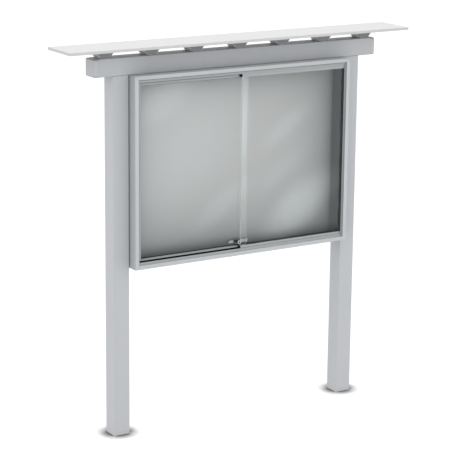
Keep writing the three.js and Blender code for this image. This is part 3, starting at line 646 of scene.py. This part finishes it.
# recess is the colour of the painted shade behind the case's face
ANODISED = {"low": (0.545, 0.56, 0.57, 1), "high": (0.595, 0.61, 0.62, 1), "roughness": 0.45,
            "edge_radius": 0.0006, "metallic": 0.35, "recess": (0.42, 0.435, 0.44, 1)}
DRAWN_ALONG_X = (0.02, 1.0, 1.0)
DRAWN_ALONG_Z = (1.0, 1.0, 0.02)
ALONG_X = make_metal("anodised along x", **ANODISED, stretch=DRAWN_ALONG_X)
ALONG_Z = make_metal("anodised along z", **ANODISED, stretch=DRAWN_ALONG_Z)
SHEET = make_metal("back sheet", (0.50, 0.51, 0.52, 1), (0.56, 0.57, 0.58, 1),
                   roughness=0.5, edge_radius=0.0006, stretch=DRAWN_ALONG_X, metallic=0.3)
ZINC = make_metal("zinc plate", (0.55, 0.56, 0.57, 1), (0.62, 0.63, 0.64, 1),
                  roughness=0.4, edge_radius=0.0005)
RIVET = make_metal("aluminium rivet", (0.62, 0.63, 0.64, 1), (0.70, 0.71, 0.72, 1),
                   roughness=0.35, edge_radius=0.0003, metallic=0.8)
BAR_STEEL = make_metal("nickelled bar", (0.36, 0.37, 0.38, 1), (0.44, 0.45, 0.46, 1),
                       roughness=0.24, edge_radius=0.0004, stretch=(0.1, 1.0, 1.0))
DARK_STEEL = make_metal("dark plated steel", (0.10, 0.105, 0.11, 1), (0.16, 0.165, 0.17, 1),
                        roughness=0.3, edge_radius=0.0004)
LOCK_METAL = make_lock_metal("lock metal", (0.14, 0.145, 0.15, 1), (0.62, 0.63, 0.64, 1))

FOOT_CAP = make_plastic("foot cap plastic", (0.54, 0.55, 0.56, 1), (0.58, 0.59, 0.60, 1),
                        roughness=0.5, edge_radius=0.0015)
BLACK = make_plastic("black plastic", (0.004, 0.004, 0.004, 1), (0.009, 0.009, 0.009, 1),
                     roughness=0.6, edge_radius=0.0004, specular=0.2)
LINING = make_plastic("dark lining", (0.014, 0.014, 0.014, 1), (0.024, 0.024, 0.024, 1),
                      roughness=0.5, edge_radius=0.0004)
FOAM = make_plastic("rigid foam", (0.62, 0.58, 0.46, 1), (0.68, 0.64, 0.52, 1),
                    roughness=0.85, edge_radius=0.0005)
FELT = make_felt("pin felt", (0.526, 0.521, 0.520, 1), (0.556, 0.551, 0.550, 1))

GLASS = make_glass("clear glass", (0.988, 0.998, 0.994, 1))
GLASS_EDGE = make_plastic("ground glass edge", (0.62, 0.66, 0.65, 1), (0.66, 0.70, 0.69, 1),
                          roughness=0.4, edge_radius=0.0003)

FINISH_OF_SLOT = {
    "grey_coat": POST_COAT, "pale_coat": PALE_COAT, "cap_plastic": CAP_COAT, "anodised": ALONG_X,
    "black_plastic": BLACK, "panel_grey": FELT, "pale_foam": FOAM, "zinc_steel": ZINC,
    "chromed": LOCK_METAL, "clear_glass": GLASS,
}
FINISH_OF_NODE = {
    "case_left_profile": ALONG_Z, "case_right_profile": ALONG_Z, "rear_pane_edge_profile": ALONG_Z,
    "left_foot_cap": FOOT_CAP, "right_foot_cap": FOOT_CAP, "beam": BEAM_COAT, "lock_plug": DARK_STEEL,
    "left_jamb_seal": LINING, "right_jamb_seal": LINING, "front_pane_edge_seal": LINING,
    "ratchet_bar": BAR_STEEL, "back_sheet": SHEET,
    **{name: BRACKET_COAT for name in BRACKETS},
}


def dress_nodes():
    """Every CAD node gets the material of its finish."""
    for part in frame["record"]["subparts"]:
        name = part["node"]
        piece = NODES[name]
        piece.data.materials.clear()
        piece.data.materials.append(FINISH_OF_NODE.get(name, FINISH_OF_SLOT[part["material_slot"]]))


# Panes

def build_glass(node, body):
    """A pane with clear faces and ground, arrised edges in place of the plain solid."""
    low, high = (Vector(corner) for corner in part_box(node))
    shape = bmesh.new()
    bmesh.ops.create_cube(shape, size=1.0)
    for vertex in shape.verts:
        for axis in range(3):
            vertex.co[axis] = low[axis] if vertex.co[axis] < 0 else high[axis]
    bmesh.ops.bevel(shape, geom=shape.edges[:], offset=ARRIS, segments=1, affect="EDGES", profile=0.5)
    for face in shape.faces:
        face.material_index = 0 if abs(face.normal.y) > FLAT_AGREEMENT else 1
    mesh = bpy.data.meshes.new(node + "_pane")
    shape.to_mesh(mesh)
    shape.free()
    pane = new_object(node + "_pane", mesh, GLASS)
    mesh.materials.append(GLASS_EDGE)
    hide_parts(node)
    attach(pane, body)


# Small parts that the CAD model leaves out

def finish_piece(shape, name, material, body):
    """The mesh becomes a piece that rides on the body."""
    bmesh.ops.recalc_face_normals(shape, faces=shape.faces[:])
    mesh = bpy.data.meshes.new(name)
    shape.to_mesh(mesh)
    shape.free()
    piece = new_object(name, mesh, material)
    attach(piece, body)


def turn_profile(shape, profile, place, outward):
    """Adds a turned form to the mesh, from radius and height pairs that end in its middle."""
    outward = outward.normalized()
    across = outward.orthogonal().normalized()
    upward = outward.cross(across)
    angles = [2 * math.pi * step / TURN_SIDES for step in range(TURN_SIDES)]
    rings = []
    for radius, height in profile:
        middle = place + outward * height
        around = angles if radius else [0.0]
        rings.append([shape.verts.new(middle + (across * math.cos(a) + upward * math.sin(a)) * radius)
                      for a in around])
    shape.faces.new(list(reversed(rings[0])))
    for outer, inner in zip(rings, rings[1:]):
        for step in range(TURN_SIDES):
            following = (step + 1) % TURN_SIDES
            corners = [outer[step], outer[following]]
            corners += [inner[0]] if len(inner) == 1 else [inner[following], inner[step]]
            shape.faces.new(corners).smooth = True


def evenly(low, high, spacing):
    """Places between two ends, both included, about a spacing apart."""
    count = max(2, round((high - low) / spacing) + 1)
    return [low + (high - low) * step / (count - 1) for step in range(count)]


def build_rivets():
    """Blind rivets round the edge of the back sheet."""
    low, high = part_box("back_sheet")
    shape = bmesh.new()
    left, right = low[0] + RIVET_INSET, high[0] - RIVET_INSET
    bottom, top = low[2] + RIVET_INSET, high[2] - RIVET_INSET
    spots = [(x, z) for x in evenly(left, right, RIVET_SPACING) for z in (bottom, top)]
    spots += [(x, z) for z in evenly(bottom, top, RIVET_SPACING)[1:-1] for x in (left, right)]
    for x, z in spots:
        turn_profile(shape, RIVET_PROFILE, Vector((x, high[1], z)), Vector((0, 1, 0)))
    finish_piece(shape, "back_sheet_rivets", RIVET, "frame")


def weld_leg(step, last):
    """The bead's height and width at one step along it."""
    ripple = WELD_RIPPLE_SHARE * math.cos(2 * math.pi * step / WELD_RIPPLE_STEPS)
    wander = WELD_WANDER_SHARE * math.sin(step * WELD_WANDER_TURN)
    taper = min(1.0, WELD_END_SHARE + WELD_TAPER_SHARE * min(step, last - step))
    return WELD_LEG * (1 + ripple + wander) * taper


def weld_bead(shape, start, end, wall, away):
    """A rippled fillet on top of the beam, along the foot of a bracket's wall."""
    last = round((end - start) / WELD_RIPPLE) * WELD_RIPPLE_STEPS
    rings = []
    for step in range(last + 1):
        x = start + (end - start) * step / last
        ring = [shape.verts.new((x, wall, BEAM_TOP))]
        for turn in range(WELD_ARC_STEPS + 1):
            angle = math.pi / 2 * turn / WELD_ARC_STEPS
            reach = weld_leg(step, last) * (1 - WELD_HOLLOW_SHARE * math.sin(2 * angle))
            across, upward = reach * math.cos(angle), reach * math.sin(angle)
            ring.append(shape.verts.new((x, wall + away * across, BEAM_TOP + upward)))
        rings.append(ring)
    size = len(rings[0])
    for first, second in zip(rings, rings[1:]):
        for corner in range(size):
            following = (corner + 1) % size
            side = shape.faces.new((first[corner], first[following], second[following], second[corner]))
            side.smooth = True
    shape.faces.new(rings[0])
    shape.faces.new(list(reversed(rings[-1])))


def build_welds():
    """Each bracket is welded to the beam along its front and back walls."""
    shape = bmesh.new()
    for name in BRACKETS:
        low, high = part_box(name)
        middle = (low[0] + high[0]) / 2
        foot = [v.co.x for v in NODES[name].data.vertices if v.co.z < low[2] + FOOT_BAND]
        start = min(foot) + WELD_END_INSET
        weld_bead(shape, start, 2 * middle - start, low[1], -1)
        weld_bead(shape, start, 2 * middle - start, high[1], 1)
    finish_piece(shape, "bracket_welds", WELD_COAT, "frame")


# Stage

def make_floor():
    """A plain white floor with a contact shadow, which stays pale out to the horizon."""
    material, tree, shader = new_material("studio floor")
    shader.inputs["Roughness"].default_value = 0.9
    shader.inputs["Specular IOR Level"].default_value = 0.0
    shader.inputs["Emission Color"].default_value = WHITE
    contact = add_node(tree, "ShaderNodeAmbientOcclusion", {"Distance": CONTACT_REACH},
                       samples=CONTACT_SAMPLES)
    path = add_node(tree, "ShaderNodeLightPath")
    in_view, mirrored = path.outputs["Is Camera Ray"], path.outputs["Is Glossy Ray"]
    open_share = worked(tree, "POWER", contact.outputs["AO"], CONTACT_DARKNESS)
    shadow = product(tree, difference(tree, 1.0, open_share), in_view)
    unlit = greatest(tree, shadow, mirrored)
    tree.links.new(blended(tree, unlit, FLOOR_COLOUR, UNLIT), shader.inputs["Base Color"])
    seen = product(tree, difference(tree, 1.0, shadow), FLOOR_GLOW, in_view)
    glow = worked(tree, "ADD", seen, product(tree, mirrored, FLOOR_REFLECTED))
    tree.links.new(glow, shader.inputs["Emission Strength"])
    corners = [(-FLOOR_HALF, -FLOOR_HALF, 0), (FLOOR_HALF, -FLOOR_HALF, 0),
               (FLOOR_HALF, FLOOR_HALF, 0), (-FLOOR_HALF, FLOOR_HALF, 0)]
    new_quad("studio_floor", corners, material)


def make_sky():
    """A white sky, brighter overhead than at the horizon."""
    world = bpy.data.worlds.new("studio sky")
    world.use_nodes = True
    tree = world.node_tree
    where = add_node(tree, "ShaderNodeTexCoord")
    axes = add_node(tree, "ShaderNodeSeparateXYZ", {"Vector": where.outputs["Generated"]})
    strength = remapped(tree, axes.outputs["Z"], 0.0, 1.0, SKY_AT_HORIZON, SKY_OVERHEAD)
    sky = tree.nodes["Background"]
    sky.inputs["Color"].default_value = WHITE
    tree.links.new(strength, sky.inputs["Strength"])
    bpy.context.scene.world = world


def make_softbox():
    """A large soft light overhead."""
    data = bpy.data.lights.new("top_softbox", "AREA")
    data.shape = "RECTANGLE"
    data.size, data.size_y = SOFTBOX_SIZE
    data.energy = SOFTBOX_WATTS
    light = bpy.data.objects.new("top_softbox", data)
    light.location = SOFTBOX_PLACE
    bpy.context.scene.collection.objects.link(light)


def make_reflector():
    """A card in front, with soft slanting bands, that only shows as a reflection in the glass."""
    material, tree, shader = new_material("reflector card")
    where = add_node(tree, "ShaderNodeTexCoord").outputs["Object"]
    brightness = CARD_BASE
    for across, up, half_length, half_width, tilt, strength in STREAKS:
        turned = add_node(tree, "ShaderNodeMapping", {
            "Vector": where, "Location": (across, CARD_LOW_LEFT[1], up),
            "Rotation": (0, -math.radians(tilt), 0), "Scale": (half_length, 1.0, half_width)},
            vector_type="TEXTURE")
        ball = add_node(tree, "ShaderNodeTexGradient", {"Vector": turned.outputs["Vector"]},
                        gradient_type="SPHERICAL")
        streak = remapped(tree, ball.outputs["Fac"], 0.0, STREAK_RISE_SHARE, 0.0, strength,
                          interpolation_type="SMOOTHSTEP")
        brightness = worked(tree, "ADD", streak, brightness)
    height = add_node(tree, "ShaderNodeSeparateXYZ", {"Vector": where}).outputs["Z"]
    brightness = product(tree, brightness, remapped(tree, height, *CARD_FADE, CARD_FOOT_SHARE, 1.0))
    shader.inputs["Base Color"].default_value = UNLIT
    shader.inputs["Emission Color"].default_value = CARD_TINT
    tree.links.new(brightness, shader.inputs["Emission Strength"])
    x, y, z = CARD_LOW_LEFT
    wide, tall = CARD_SIZE
    corners = [(x, y, z), (x + wide, y, z), (x + wide, y, z + tall), (x, y, z + tall)]
    board = new_quad("reflector_card", corners, material)
    board.visible_camera = False
    board.visible_diffuse = False
    board.visible_shadow = False


make_camera()
make_floor()
make_sky()
make_softbox()
make_reflector()
dress_nodes()
build_glass("front_pane_glass", "front_pane")
build_glass("rear_pane_glass", "rear_pane")
build_rivets()
build_welds()
bpy.context.scene.view_settings.view_transform = "Standard"
